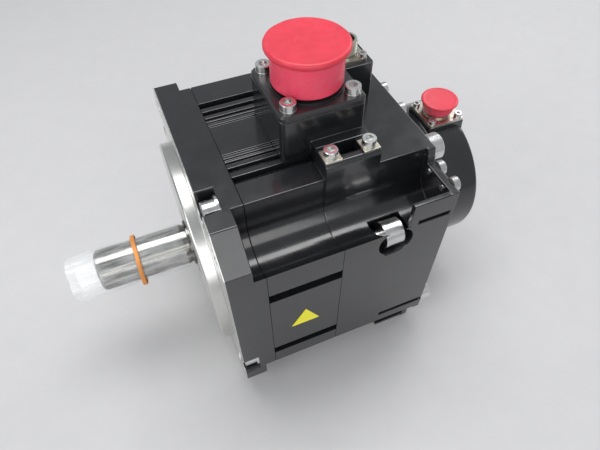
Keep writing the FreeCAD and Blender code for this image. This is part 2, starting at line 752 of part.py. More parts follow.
def brake():
    coil_housing = turned_body("brake_coil_housing", [
        ("coil_housing_rear", "13"), ("coil_housing_rear", "46"), ("coil_housing_front", "46"),
        ("coil_housing_front", "31"), ("-98", "31"), ("-98", "20"),
        ("coil_housing_front", "20"), ("coil_housing_front", "13")])

    def draw_spring_holes(sketch):
        for number in range(6):
            angle = math.radians(60 * number)
            add_circle(sketch, "%.3f" % (35.5 * math.cos(angle)),
                       "%.3f" % (35.5 * math.sin(angle)), "2.9")
    pocket_along_x(coil_housing, "spring_holes", draw_spring_holes, "coil_housing_front", "-96")
    pocket_along_x(coil_housing, "screw_holes", draw_brake_screw_holes,
                   "coil_housing_front + 1", "coil_housing_rear - 1")
    turned_body("brake_coil", [
        ("-97.8", "20.2"), ("-97.8", "30.8"), ("-87.6", "30.8"), ("-87.6", "20.2")])
    end_plate = turned_body("brake_end_plate", [
        ("-75", "16"), ("-78", "16"), ("-78", "46"), ("-75", "46")])
    pocket_along_x(end_plate, "screw_holes", draw_brake_screw_holes, "-74", "-79")
    turned_body("brake_armature", [
        ("-83.4", "16"), ("-86.6", "16"), ("-86.6", "40"), ("-83.4", "40")])
    disc = new_body("brake_disc")

    def draw_disc(sketch):
        add_circle(sketch, "0", "0", "38")
        add_rectangle(sketch, "-11.05", "11.05", "-11.05", "11.05")
    pad_along_x(disc, "disc", draw_disc, "-83.2", "-78.2")
    hub = new_body("brake_hub")

    def draw_hub(sketch):
        add_rectangle(sketch, "-11", "11", "-11", "11")
        add_circle(sketch, "0", "0", "hub_seat + 0.01")
    pad_along_x(hub, "hub", draw_hub, "-84.4", "-77")

    springs = []
    screws = []
    for number in range(6):
        angle = math.radians(60 * number)
        centre = Vector(-95.9, 35.5 * math.cos(angle), 35.5 * math.sin(angle))
        helix = Part.makeHelix(1.9, 8.0, 2.2)
        wire = Part.Wire(helix.Edges)
        section = Part.Wire(Part.makeCircle(0.4, Vector(2.2, 0, 0), Vector(0, 1, 0)))
        spring = wire.makePipeShell([section], True, True)
        spring.Placement = Placement(centre + Vector(0.4, 0, 0), Rotation(Vector(0, 1, 0), 90))
        springs.append(spring)
    group("brake_springs", springs)
    for number in range(3):
        angle = math.radians(30 + 120 * number)
        seat = Vector(size("coil_housing_rear"), 43 * math.cos(angle), 43 * math.sin(angle))
        screws.append(socket_screw(seat, Vector(-1, 0, 0), 3.4, 2.8, 1.9, 24))
    group("brake_screws", screws)


# ------------------------------------------------------------------- encoder


def encoder():
    base = turned_body("encoder_base", [
        ("rear_plate_front", "9"), ("rear_plate_front", "brake_bore - 0.05"),
        ("housing_rear", "brake_bore - 0.05"), ("housing_rear", "drum_radius - drum_wall - 0.1"),
        ("housing_rear - 3", "drum_radius - drum_wall - 0.1"),
        ("housing_rear - 3", "32"), ("housing_rear", "32"), ("housing_rear", "9")])

    def draw_posts(sketch):
        for number in range(3):
            angle = math.radians(30 + 120 * number)
            add_circle(sketch, "%.3f" % (30.5 * math.cos(angle)),
                       "%.3f" % (30.5 * math.sin(angle)), "2.4")
    pad_along_x(base, "posts", draw_posts, "-121", "housing_rear + 1")
    turned_body("encoder_hub", [
        ("-109.4", "encoder_seat + 0.01"), ("-109.4", "9.6"), ("-113.9", "9.6"),
        ("-113.9", "8"), ("-116.8", "8"), ("-116.8", "encoder_seat + 0.01")])
    turned_body("encoder_disc", [
        ("-114", "8.05"), ("-114", "25"), ("-115.2", "25"), ("-115.2", "8.05")])
    board = new_body("encoder_board")

    def draw_board(sketch):
        add_circle(sketch, "0", "0", "35")
    pad_along_x(board, "board", draw_board, "-122.7", "-121.05")
    pieces = [Part.makeBox(4.6, 10, 11, Vector(-121, -5, 13.5)),
              Part.makeBox(2.4, 9, 9, Vector(-125.15, -14, -10)),
              Part.makeBox(1.8, 12, 6, Vector(-124.55, 4, -16)),
              Part.makeBox(4.0, 12, 5, Vector(-126.75, -6, 22))]
    group("encoder_components", pieces)

    cover = new_body("encoder_cover")
    turn(cover, "drum", [
        ("housing_rear", "0"), ("housing_rear", "drum_radius"), ("drum_rear + 3", "drum_radius"),
        ("drum_rear + 0.9", "drum_radius - 0.9"), ("drum_rear", "drum_radius - 3"),
        ("drum_rear", "0")])

    def draw_pad(sketch):
        add_rectangle(sketch, "encoder_x - 10.6", "encoder_x + 10.6", "-10.6", "10.6")
    pad_up(cover, "connector_pad", draw_pad, "30", "encoder_pad_top")
    turn(cover, "hollow", [
        ("housing_rear + 1", "0"), ("housing_rear + 1", "drum_radius - drum_wall"),
        ("drum_rear + drum_wall", "drum_radius - drum_wall"), ("drum_rear + drum_wall", "0")],
        "Groove")

    def draw_wire_hole(sketch):
        add_circle(sketch, "encoder_x", "0", "5.2")
    pocket_down(cover, "wire_hole", draw_wire_hole, "encoder_pad_top + 1", "30")

    def draw_connector_screw_holes(sketch):
        for along in ("encoder_x - 8.1", "encoder_x + 8.1"):
            for side in ("-8.1", "8.1"):
                add_circle(sketch, along, side, "1.35")
    pocket_down(cover, "connector_screw_holes", draw_connector_screw_holes,
                "encoder_pad_top + 1", "36.8")
    screws = []
    for number in range(4):
        angle = math.radians(45 + 90 * number)
        seat = Vector(size("drum_rear"), 30 * math.cos(angle), 30 * math.sin(angle))
        screws.append(socket_screw(seat, Vector(-1, 0, 0), 2.75, 2.4, 1.5, 8))
    group("cover_screws", screws)

    def draw_screw_holes(sketch):
        for number in range(4):
            angle = math.radians(45 + 90 * number)
            add_circle(sketch, "%.3f" % (30 * math.cos(angle)),
                       "%.3f" % (30 * math.sin(angle)), "1.55")
    pocket_along_x(cover, "cover_screw_holes", draw_screw_holes, "drum_rear + drum_wall + 1",
                   "drum_rear - 1")


# ---------------------------------------------------------------- connectors


def connector_box():
    body = new_body("connector_box")

    def draw_outline(sketch):
        add_rectangle(sketch, "box_rear", "box_front", "box_far", "box_near")
    outline = pad_up(body, "outline", draw_outline, "flange_half", "box_top")
    rounded = round_edges(body, "outline_corners", outline, 3.2, Vector(0, 0, 1))

    def draw_foot(sketch):
        add_rectangle(sketch, "block_rear", "block_front - 0.4", "box_near - 3", "block_back - 0.2")
    body.Tip = rounded
    pad_up(body, "foot", draw_foot, "flange_half", "block_top")

    def draw_inside(sketch):
        add_rectangle(sketch, "box_rear + 3.5", "box_front - 3.5", "box_far + 3.5", "box_near - 3.5")
    pocket_down(body, "inside", draw_inside, "box_top", "flange_half + 2")

    def draw_at_screws(radius):
        def draw(sketch):
            for along in ("power_x - power_pitch", "power_x + power_pitch"):
                for side in ("power_y - power_pitch", "power_y + power_pitch"):
                    add_circle(sketch, along, side, radius)
        return draw
    pad_up(body, "screw_bosses", draw_at_screws("4.2"), "flange_half", "box_top")
    pocket_down(body, "screw_holes", draw_at_screws("2.05"), "box_top", "79")

    def draw_wire_hole(sketch):
        add_circle(sketch, "-58.2", "power_y", "4")
    pocket_down(body, "wire_hole", draw_wire_hole, "box_top", "flange_half - 1")


def ring_up(low, profile):
    """A turned solid standing on an upright axis; profile is (radius, height)."""
    corners = [Vector(low.x + radius, low.y, low.z + height) for radius, height in profile]
    face = Part.Face(Part.makePolygon(corners + corners[:1]))
    return face.revolve(low, Vector(0, 0, 1), 360)


def plate_up(centre, half, low, high, bore, corner):
    """A square plate with rounded corners and a round hole."""
    plate = Part.makeBox(2 * half, 2 * half, high - low,
                         Vector(centre.x - half, centre.y - half, low))
    upright = [edge for edge in plate.Edges
               if abs(edge.Vertexes[0].Z - edge.Vertexes[1].Z) > 0.1]
    plate = plate.makeFillet(corner, upright)
    return plate.cut(Part.makeCylinder(bore, high - low, Vector(centre.x, centre.y, low)))


def contact_pins(centre, low, high, places, radius):
    pins = []
    for across, along in places:
        start = Vector(centre.x + across, centre.y + along, low)
        pin = Part.makeCylinder(radius, high - low, start)
        pins.append(pin.makeChamfer(radius * 0.4, [pin.Edges[0]]))
    return pins


def thread_profile(inner, outer, low, high, pitch):
    """Radius and height pairs that zigzag like a thread's section."""
    profile = []
    height = low
    while height + pitch <= high + 1e-6:
        profile += [(inner, height), (outer, height + pitch * 0.5)]
        height += pitch
    return profile + [(inner, height)]


def power_connector():
    axis = Vector(size("power_x"), size("power_y"), 0)
    low, top = size("box_top"), size("power_flange_top")
    shell, shell_top = size("power_shell"), size("power_shell_top")
    flange = plate_up(axis, 19.8, low, top, 12.9, 3.4)
    upper = [edge for edge in flange.Edges
             if edge.BoundBox.ZMin > top - 0.01
             and edge.BoundBox.XLength + edge.BoundBox.YLength < 45
             and (edge.CenterOfMass - Vector(axis.x, axis.y, top)).Length > 15]
    flange = flange.makeChamfer(0.9, upper)
    barrel = ring_up(Vector(axis.x, axis.y, 0), [
        (12.9, top - 1.5), (16.7, top - 1.5), (16.7, top + 1.0), (shell - 0.8, top + 1.0)]
        + thread_profile(shell - 0.8, shell, top + 1.4, shell_top - 1.4, 1.4)
        + [(shell - 0.9, shell_top), (12.9, shell_top)])
    receptacle = flange.fuse(barrel)
    pitch = size("power_pitch")
    seats = [Vector(axis.x + side * pitch, axis.y + rise * pitch, top)
             for side in (1, -1) for rise in (1, -1)]
    for seat in seats:
        receptacle = receptacle.cut(Part.makeCylinder(2.05, 6, seat - Vector(0, 0, 5)))
    group("power_receptacle", receptacle.removeSplitter())
    group("power_screws", [socket_screw(seat, Vector(0, 0, 1), 3.5, 3.2, 2, 9, 3.6, 0.9)
                           for seat in seats])
    insert = Part.makeCylinder(12.85, 11, Vector(axis.x, axis.y, 84.6))
    key = Part.makeBox(2.4, 2, 7, Vector(axis.x - 1.2, axis.y + 11.4, 95))
    group("power_insert", insert.cut(key))
    places = [(6.8 * math.cos(math.radians(a)), 6.8 * math.sin(math.radians(a)))
              for a in range(20, 380, 60)] + [(0.0, 0.0)]
    group("power_pins", contact_pins(axis, 95.6, 101.5, places, 1.15))


def power_cap():
    """Red plastic cap: a thin skirt over the thread and a wide closed head."""
    foot = Vector(size("power_x"), size("power_y"), 0)
    top = 108.4
    group("power_cap", ring_up(foot, [
        (15.15, 90.4), (16.1, 90.4), (16.2, 104.6), (16.6, 105.4), (18.0, 105.6), (18.4, 106.2),
        (18.4, 107.7), (17.9, 108.3), (17.0, top), (0, top), (0, 106.2), (14.6, 106.2),
        (15.15, 105.4)]))


def small_receptacle(name, axis, seat, half, shell, height, screw_pitch):
    """A nickel plate with a threaded shell, an insert, pins and corner screws."""
    plate_top = seat + size("small_plate")
    plate = plate_up(axis, half, seat, plate_top, shell - 1.6, 1.6)
    barrel = ring_up(Vector(axis.x, axis.y, 0), [
        (shell - 1.6, seat), (shell + 0.7, plate_top - 0.4), (shell + 0.7, plate_top + 0.8),
        (shell - 0.5, plate_top + 0.8)]
        + thread_profile(shell - 0.5, shell, plate_top + 1.0, plate_top + height - 0.8, 0.9)
        + [(shell - 0.5, plate_top + height), (shell - 1.6, plate_top + height)])
    body = plate.fuse(barrel)
    seats = [Vector(axis.x + side * screw_pitch, axis.y + rise * screw_pitch, plate_top)
             for side in (1, -1) for rise in (1, -1)]
    for place in seats:
        body = body.cut(Part.makeCylinder(1.35, 4, place - Vector(0, 0, 3)))
    group(name + "_receptacle", body.removeSplitter())
    group(name + "_connector_screws",
          [socket_screw(place, Vector(0, 0, 1), 2, 2.2, 1.3, 7) for place in seats])
    insert = Part.makeCylinder(shell - 1.65, height - 3.2, Vector(axis.x, axis.y, seat - 1.2))
    group(name + "_insert", insert)
    return plate_top


def small_connectors():
    brake_axis = Vector(size("brake_x"), size("brake_y"), 0)
    block_top = size("brake_block_top")
    block = new_body("brake_connector_block")

    def draw_block(sketch):
        add_rectangle(sketch, "-100.2", "box_rear - 0.1", "-27", "-5")
    outline = pad_up(block, "block", draw_block, "flange_half", "brake_block_top")
    rounded = round_edges(block, "block_corners", outline, 1.6, Vector(0, 0, 1))
    block.Tip = rounded

    def draw_passage(sketch):
        add_circle(sketch, "brake_x", "brake_y", "5")
    pocket_down(block, "passage", draw_passage, "brake_block_top", "flange_half + 2")

    def draw_screw_holes(sketch):
        for side in ("brake_x - 6.5", "brake_x + 6.5"):
            for rise in ("brake_y - 6.5", "brake_y + 6.5"):
                add_circle(sketch, side, rise, "1.35")
    pocket_down(block, "screw_holes", draw_screw_holes, "brake_block_top", "74")
    small_receptacle("brake", brake_axis, block_top, 8.5, 6.2, 7.5, 6.5)
    encoder_axis = Vector(size("encoder_x"), 0, 0)
    small_receptacle("encoder", encoder_axis, size("encoder_pad_top"), 10.5, 6.6, 6.4, 8.1)
    pins = []
    for axis, low in ((brake_axis, block_top + 3.2), (encoder_axis, 44.6)):
        count = 2 if axis is brake_axis else 7
        reach = 1.9 if count == 2 else 2.9
        places = [(reach * math.cos(2 * math.pi * step / count),
                   reach * math.sin(2 * math.pi * step / count)) for step in range(count)]
        pins += contact_pins(axis, low, low + 3.4, places, 0.5)
    group("signal_pins", pins)
    foot = Vector(size("encoder_x"), 0, 0)
    group("encoder_cap", ring_up(foot, [
        (6.95, 45.3), (7.6, 45.3), (9.3, 50.9), (9.9, 51.3), (9.9, 51.9), (9.5, 52.4),
        (0, 52.4), (0, 51.2), (8.3, 51.2)]))


def clamps():
    top = size("block_top")
    plates = []
    screws = []
    for along in (-58.0, -76.0):
        plate = Part.makeBox(7.8, 8, 1.1, Vector(along - 3.9, 33.3, top))
        hole = Part.makeCylinder(2.05, 3, Vector(along, 37.2, top - 1))
        plates.append(plate.cut(hole))
        seat = Vector(along, 37.2, top + 1.1)
        screws.append(socket_screw(seat, Vector(0, 0, 1), 3.2, 3.4, 1.5, 8))
    group("clamp_plates", plates)
    group("clamp_screws", screws)


# ---------------------------------------------------------------- fasteners


def placed(places, x):
    return [Vector(x, number_of(across), number_of(up)) for across, up in places]


def body_fasteners():
    forward = Vector(1, 0, 0)
    front_places = turned_places("tie_top", "tie_side", "tie_height")
    pocket_bottom = -size("tie_pocket_depth")
    length = pocket_bottom - size("tie_end")
    group("front_tie_bolts", [
        socket_screw(seat, forward, 5, 6.2, size("tie_shank"), length, 6.2, 1.1)
        for seat in placed(front_places, pocket_bottom)])
    group("side_bolts", [
        socket_screw(seat, Vector(-1, 0, 0), 6.2, 8, size("tie_shank"), 12, 6.4, 1.8)
        for seat in placed(SIDE_BOLT, size("side_seat"))])
    rear = size("housing_rear")
    group("rear_tie_bolts", [
        socket_screw(seat, Vector(-1, 0, 0), 6.4, 6.4, size("tie_shank"), 14)
        for seat in placed(REAR_TIE, rear)])
    group("rear_plate_screws", [
        socket_screw(seat, Vector(-1, 0, 0), 3.4, 3.2, 1.5, 5)
        for seat in placed(SMALL_SCREWS, rear)])


# ------------------------------------------------- wrapping and the sticker


def shaft_wrapping():
    drop = Vector(0, 0, -size("sleeve_drop"))
    start = Vector(size("sleeve_rear"), 0, 0) + drop
    length = size("sleeve_front") - size("sleeve_rear")
    group("shaft_sleeve", cylinder(start, Vector(1, 0, 0), length,
                                   size("sleeve_outer"), size("sleeve_inner")))
    middle = Vector(32, 0, 0) + drop
    lean = Rotation(Vector(0, 1, 0), 14).multVec(Vector(1, 0, 0))
    band = Part.makeCylinder(14.3, 2.4, middle - lean * 1.2, lean)
    band = band.cut(cylinder(start, Vector(1, 0, 0), length, size("sleeve_outer") + 0.02))
    group("rubber_band", band)


def hazard_sticker():
    """A plain triangular sticker on the +Y side."""
    face = size("flange_half")
    corners = [Vector(-35.4, face, 5.0), Vector(-42.6, face, -7.8), Vector(-27.8, face, -7.8)]
    triangle = Part.Face(Part.makePolygon(corners + corners[:1]))
    group("hazard_sticker", triangle.extrude(Vector(0, 0.25, 0)))


# ----------------------------------------------------------------- assembly


def check_and_export():
    doc.recompute()
    for item in doc.Objects:
        if "Invalid" in item.State or "Error" in item.State:
            raise RuntimeError("%s: %s %s" % (item.Name, item.State, item.getStatusString()))
    for name, item in NODES.items():
        shape = item.Shape
        if shape.isNull() or not shape.isValid() or not shape.Solids:
            raise RuntimeError("bad shape: " + name)
        shape.exportStep("parts/%s.step" % name)
        print("%-24s solids %2d  volume %10.1f mm3" % (name, len(shape.Solids), shape.Volume))
    print(len(NODES), "nodes")


front_bracket()
stator_frame()
rear_housing()
stator_core()
stator_windings()
motor_leads()
shaft()
rotor()
bearing("front", "front_bearing_front", "front_bearing_rear", "shaft_seat", "front_bearing_outer")
bearing("rear", "rear_bearing_front", "rear_bearing_rear", "rear_seat", "rear_bearing_outer")
small_turned_pieces()
brake()
encoder()
connector_box()
power_connector()
power_cap()
small_connectors()
clamps()
body_fasteners()
shaft_wrapping()
hazard_sticker()
check_and_export()
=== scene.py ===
import math

import bpy
from mathutils import Matrix, Vector, noise


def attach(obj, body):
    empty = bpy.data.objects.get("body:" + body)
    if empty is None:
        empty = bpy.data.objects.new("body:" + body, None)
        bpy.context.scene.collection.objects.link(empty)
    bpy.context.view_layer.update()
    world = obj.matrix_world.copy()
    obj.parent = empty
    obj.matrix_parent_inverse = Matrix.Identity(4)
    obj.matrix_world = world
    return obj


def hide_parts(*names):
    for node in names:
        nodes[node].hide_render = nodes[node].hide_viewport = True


# Servo motor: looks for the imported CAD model. Metres, in the CAD model's own frame.

MM = 0.001
HALF_SQUARE = 65 * MM
FLOOR_Z = -HALF_SQUARE
EDGE_ANGLE = math.radians(38)

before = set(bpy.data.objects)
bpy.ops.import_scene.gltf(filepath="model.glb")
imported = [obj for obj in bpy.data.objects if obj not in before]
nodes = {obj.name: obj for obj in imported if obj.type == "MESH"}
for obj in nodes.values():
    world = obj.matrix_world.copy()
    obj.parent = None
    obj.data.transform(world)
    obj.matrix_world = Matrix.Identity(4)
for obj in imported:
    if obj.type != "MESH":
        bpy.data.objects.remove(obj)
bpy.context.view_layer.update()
scene = bpy.context.scene


# ---------------------------------------------------------------- node helpers


class Tree:
    """A material with a Principled shader and short calls for adding nodes."""

    def __init__(self, name):
        self.material = bpy.data.materials.new(name)
        self.material.use_nodes = True
        self.nodes = self.material.node_tree.nodes
        self.links = self.material.node_tree.links
        self.shader = self.nodes["Principled BSDF"]
        self.place = self.add("ShaderNodeTexCoord").outputs["Object"]

    def add(self, kind, **settings):
        node = self.nodes.new(kind)
        for field, value in settings.items():
            setattr(node, field, value)
        return node

    def feed(self, socket, value):
        """Links an output to the socket, or sets the socket's own value."""
        if isinstance(value, bpy.types.NodeSocket):
            self.links.new(value, socket)
        else:
            socket.default_value = value

    def maths(self, operation, first, second=0.0):
        node = self.add("ShaderNodeMath", operation=operation)
        self.feed(node.inputs[0], first)
        self.feed(node.inputs[1], second)
        return node.outputs[0]

    def noise(self, scale, detail=3.0, rough=0.55, place=None):
        node = self.add("ShaderNodeTexNoise")
        self.feed(node.inputs["Vector"], self.place if place is None else place)
        node.inputs["Scale"].default_value = scale
        node.inputs["Detail"].default_value = detail
        node.inputs["Roughness"].default_value = rough
        return node.outputs[0]

    def stretched(self, along_x, along_y, along_z):
        node = self.add("ShaderNodeMapping")
        self.feed(node.inputs["Vector"], self.place)
        node.inputs["Scale"].default_value = (along_x, along_y, along_z)
        return node.outputs[0]

    def spread(self, value, low, high, from_low=0.3, from_high=0.7):
        node = self.add("ShaderNodeMapRange", clamp=True)
        self.feed(node.inputs["Value"], value)
        node.inputs["From Min"].default_value = from_low
        node.inputs["From Max"].default_value = from_high
        node.inputs["To Min"].default_value = low
        node.inputs["To Max"].default_value = high
        return node.outputs[0]

    def blend(self, share, first, second):
        """Mixes two colours."""
        node = self.add("ShaderNodeMix", data_type="RGBA")
        self.feed(node.inputs[0], share)
        for socket, colour in ((node.inputs[6], first), (node.inputs[7], second)):
            self.feed(socket, colour if isinstance(colour, bpy.types.NodeSocket)
                      else (*colour, 1.0))
        return node.outputs[2]

    def axis(self, name):
        split = self.add("ShaderNodeSeparateXYZ")
        self.feed(split.inputs[0], self.place)
        return split.outputs[name]

    def bump(self, height, strength, distance):
        node = self.add("ShaderNodeBump")
        self.feed(node.inputs["Height"], height)
        node.inputs["Strength"].default_value = strength
        node.inputs["Distance"].default_value = distance
        self.links.new(node.outputs[0], self.shader.inputs["Normal"])

    def put(self, **values):
        """Sets the shader's sockets; underscores stand for spaces."""
        for field, value in values.items():
            self.feed(self.shader.inputs[field.replace("_", " ")], value)


def scaled(colour, factor):
    return tuple(min(1.0, part * factor) for part in colour)


def plain(name, colour, rough, metal=0.0, vary=0.15, grain=1800.0, relief=0.25, depth=0.03,
          **sockets):
    """A surface with soft colour and roughness variation and a fine-grained relief."""
    tree = Tree(name)
    cloud = tree.noise(70.0)
    tree.put(Base_Color=tree.blend(tree.spread(cloud, 0.0, 1.0), scaled(colour, 1 - vary),
                                   scaled(colour, 1 + vary)))
    tree.put(Roughness=tree.spread(tree.noise(160.0), rough * 0.85, rough * 1.2))
    tree.put(Metallic=metal, **sockets)
    tree.bump(tree.noise(grain, 4.0), relief, depth * MM)
    return tree.material


# ------------------------------------------------------------------- materials

PAINT = (0.008, 0.0085, 0.010)
BARE = (0.60, 0.60, 0.58)


def paint_nodes(tree):
    """Colour, roughness and relief of the semi-gloss black paint."""
    cloud = tree.spread(tree.noise(45.0), 0.0, 1.0)
    colour = tree.blend(cloud, scaled(PAINT, 0.8), scaled(PAINT, 1.3))
    dust = tree.spread(tree.noise(900.0, 2.0), 0.0, 0.35, 0.66, 0.80)
    colour = tree.blend(dust, colour, (0.035, 0.035, 0.035))
    rough = tree.spread(tree.noise(120.0, 5.0), 0.16, 0.25)
    tree.put(Specular_IOR_Level=0.7, Coat_Weight=0.30, Coat_Roughness=0.08)
    tree.bump(tree.noise(900.0, 3.0), 0.16, 0.03 * MM)
    return colour, rough


def black_paint():
    tree = Tree("black_paint")
    colour, rough = paint_nodes(tree)
    tree.put(Base_Color=colour, Roughness=rough)
    return tree.material


def bracket_paint():
    """Black paint with a bare machined front: turning marks round the axis."""
    tree = Tree("bracket_paint")
    colour, rough = paint_nodes(tree)
    across, up = tree.axis("Y"), tree.axis("Z")
    radius = tree.maths("SQRT", tree.maths("ADD", tree.maths("MULTIPLY", across, across),
                                           tree.maths("MULTIPLY", up, up)))
    rings = tree.add("ShaderNodeTexNoise", noise_dimensions="1D")
    tree.feed(rings.inputs["W"], radius)
    rings.inputs["Scale"].default_value = 2600.0
    rings.inputs["Detail"].default_value = 3.0
    marks = rings.outputs[0]
    front = tree.spread(tree.axis("X"), 0.0, 1.0, -0.5 * MM, -0.3 * MM)
    bare = tree.blend(tree.spread(marks, 0.0, 1.0), scaled(BARE, 0.85), scaled(BARE, 1.15))
    tree.put(Base_Color=tree.blend(front, colour, bare), Metallic=front)
    bare_rough = tree.spread(marks, 0.22, 0.36)
    lift = tree.maths("MULTIPLY", front, tree.maths("SUBTRACT", bare_rough, rough))
    tree.put(Roughness=tree.maths("ADD", rough, lift))
    return tree.material


def turned_metal(name, colour, rough):
    """Metal with fine marks that run round the X axis, as from turning or grinding."""
    tree = Tree(name)
    marks = tree.add("ShaderNodeTexNoise", noise_dimensions="1D")
    tree.feed(marks.inputs["W"], tree.axis("X"))
    marks.inputs["Scale"].default_value = 3000.0
    marks.inputs["Detail"].default_value = 4.0
    cloud = tree.spread(tree.noise(50.0), 0.0, 1.0)
    tree.put(Base_Color=tree.blend(cloud, scaled(colour, 0.88), scaled(colour, 1.08)))
    tree.put(Roughness=tree.spread(marks.outputs[0], rough * 0.75, rough * 1.35), Metallic=1.0)
    tree.bump(marks.outputs[0], 0.3, 0.01 * MM)
    return tree.material


def ground_shaft():
    """Ground steel with painted reflection: dark streaks along the shaft, put into its colour."""
    tree = Tree("ground_shaft")
    # Painted reflection: dark bands along X in the base colour stand in for the dark reflections
    # on the shaft.
    painted_reflection_streaks = tree.noise(1.0, 3.0, 0.6, place=tree.stretched(9.0, 190.0, 190.0))
    painted_reflection_share = tree.spread(painted_reflection_streaks, 0.0, 1.0, 0.36, 0.60)
    tree.put(Base_Color=tree.blend(painted_reflection_share, (0.40, 0.395, 0.37), (0.08, 0.078, 0.07)))
    tree.put(Roughness=tree.spread(tree.noise(400.0), 0.16, 0.28), Metallic=1.0)
    tree.bump(tree.noise(1.0, 3.0, place=tree.stretched(4000.0, 60.0, 60.0)), 0.2, 0.01 * MM)
    return tree.material


def laminated(name):
    """Stacked steel sheets: thin bands along X."""
    tree = Tree(name)
    bands = tree.add("ShaderNodeTexWave", wave_type="BANDS", bands_direction="X")
    tree.feed(bands.inputs["Vector"], tree.place)
    bands.inputs["Scale"].default_value = 620.0
    bands.inputs["Distortion"].default_value = 0.6
    tree.put(Base_Color=tree.blend(bands.outputs[1], (0.10, 0.10, 0.11), (0.33, 0.33, 0.35)))
    tree.put(Roughness=tree.spread(tree.noise(300.0), 0.35, 0.55), Metallic=0.9)
    tree.bump(bands.outputs[1], 0.5, 0.05 * MM)
    return tree.material


def winding(name):
    """Enamelled copper wire laid in turns."""
    tree = Tree(name)
    turns = tree.add("ShaderNodeTexWave", wave_type="BANDS", bands_direction="DIAGONAL")
    tree.feed(turns.inputs["Vector"], tree.place)
    turns.inputs["Scale"].default_value = 380.0
    turns.inputs["Distortion"].default_value = 1.2
    turns.inputs["Detail Scale"].default_value = 30.0
    tree.put(Base_Color=tree.blend(turns.outputs[1], (0.24, 0.06, 0.015), (0.78, 0.30, 0.10)))
    tree.put(Roughness=tree.spread(tree.noise(200.0), 0.22, 0.38), Metallic=0.85)
    tree.bump(turns.outputs[1], 0.8, 0.2 * MM)
    return tree.material


def red_plastic(name, colour, veil):
    """Soft moulded plastic: faintly cloudy, with light passing a little way in."""
    tree = Tree(name)
    cloud = tree.spread(tree.noise(90.0, 4.0), 0.0, 1.0)
    tone = tree.blend(cloud, scaled(colour, 0.93), scaled(colour, 1.07))
    # Pale pink patches: partly scuffing, partly painted sheen where veil is larger, as on the
    # skirt.
    scuff_and_sheen = tree.spread(tree.noise(260.0, 6.0, 0.7), 0.0, veil, 0.40, 0.85)
    tree.put(Base_Color=tree.blend(scuff_and_sheen, tone, (0.86, 0.36, 0.42)))
    tree.put(Roughness=tree.spread(tree.noise(240.0, 5.0), 0.30, 0.46))
    tree.put(Subsurface_Weight=0.18, Subsurface_Radius=(3 * MM, 0.8 * MM, 0.8 * MM),
             Specular_IOR_Level=0.45)
    tree.bump(tree.noise(600.0, 4.0), 0.12, 0.06 * MM)
    return tree.material


def clear_film(name):
    """Clear soft film, milkier towards its free end and along creases."""
    tree = Tree(name)
    creases = tree.noise(1.0, 4.0, 0.6, place=tree.stretched(60.0, 420.0, 420.0))
    ends = tree.spread(tree.axis("X"), 0.0, 0.10, 52 * MM, 58 * MM)
    haze = tree.maths("ADD", tree.spread(creases, 0.05, 0.24, 0.40, 0.72), ends)
    tree.put(Alpha=haze, Base_Color=(0.93, 0.94, 0.95, 1.0))
    tree.put(Roughness=tree.spread(tree.noise(300.0), 0.08, 0.2), Specular_IOR_Level=0.8)
    tree.bump(creases, 0.5, 0.2 * MM)
    return tree.material


def label_face(name):
    """A plain yellow label, slightly rubbed."""
    tree = Tree(name)
    worn = tree.spread(tree.noise(500.0, 5.0), 0.0, 0.35, 0.60, 0.75)
    tree.put(Base_Color=tree.blend(worn, (0.80, 0.74, 0.02), (0.62, 0.60, 0.10)))
    tree.put(Roughness=tree.spread(tree.noise(200.0), 0.30, 0.45))
    tree.bump(tree.noise(700.0), 0.08, 0.02 * MM)
    return tree.material


